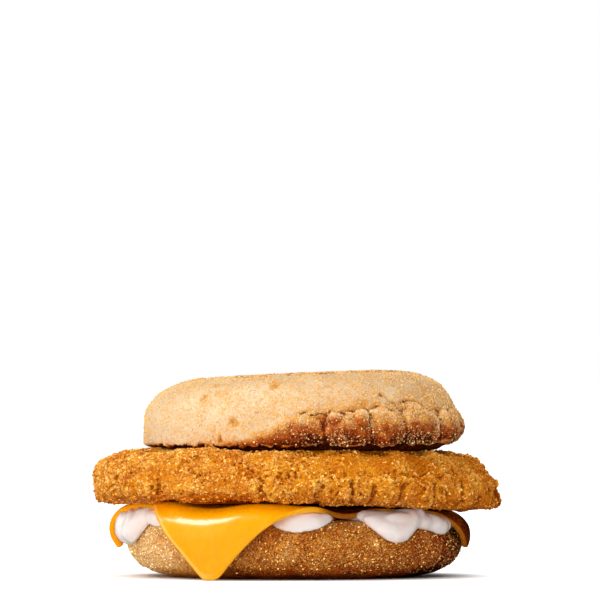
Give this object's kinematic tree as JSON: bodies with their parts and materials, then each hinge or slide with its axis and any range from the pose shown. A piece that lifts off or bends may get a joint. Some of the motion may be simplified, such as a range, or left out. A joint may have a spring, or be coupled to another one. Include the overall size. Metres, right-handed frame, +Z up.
{
  "type": "muffin breakfast sandwich",
  "caption": "Breakfast sandwich: a split muffin with a breaded patty, a draped cheese slice and white sauce squeezed out over the lower half.",
  "frame": {"origin": "middle of the flat foot under the lower muffin half, on the surface it rests on", "axes": "+Z up through the stack; -Y is the front, where a corner of the cheese hangs down; +X is the viewer's right"},
  "size_m": [0.1141, 0.1074, 0.0576],
  "materials": {
    "muffin_heel": "floury, grain-dusted bread crust",
    "sauce": "glossy white sauce",
    "cheese_slice": "satin melted cheese",
    "chicken_patty": "fried crumb coating",
    "muffin_crown": "floury, grain-dusted bread crust"
  },
  "bodies": {
    "root": {"muffin_heel": "muffin_heel", "sauce": "sauce", "cheese_slice": "cheese_slice", "chicken_patty": "chicken_patty", "muffin_crown": "muffin_crown"}
  },
  "joints": []
}
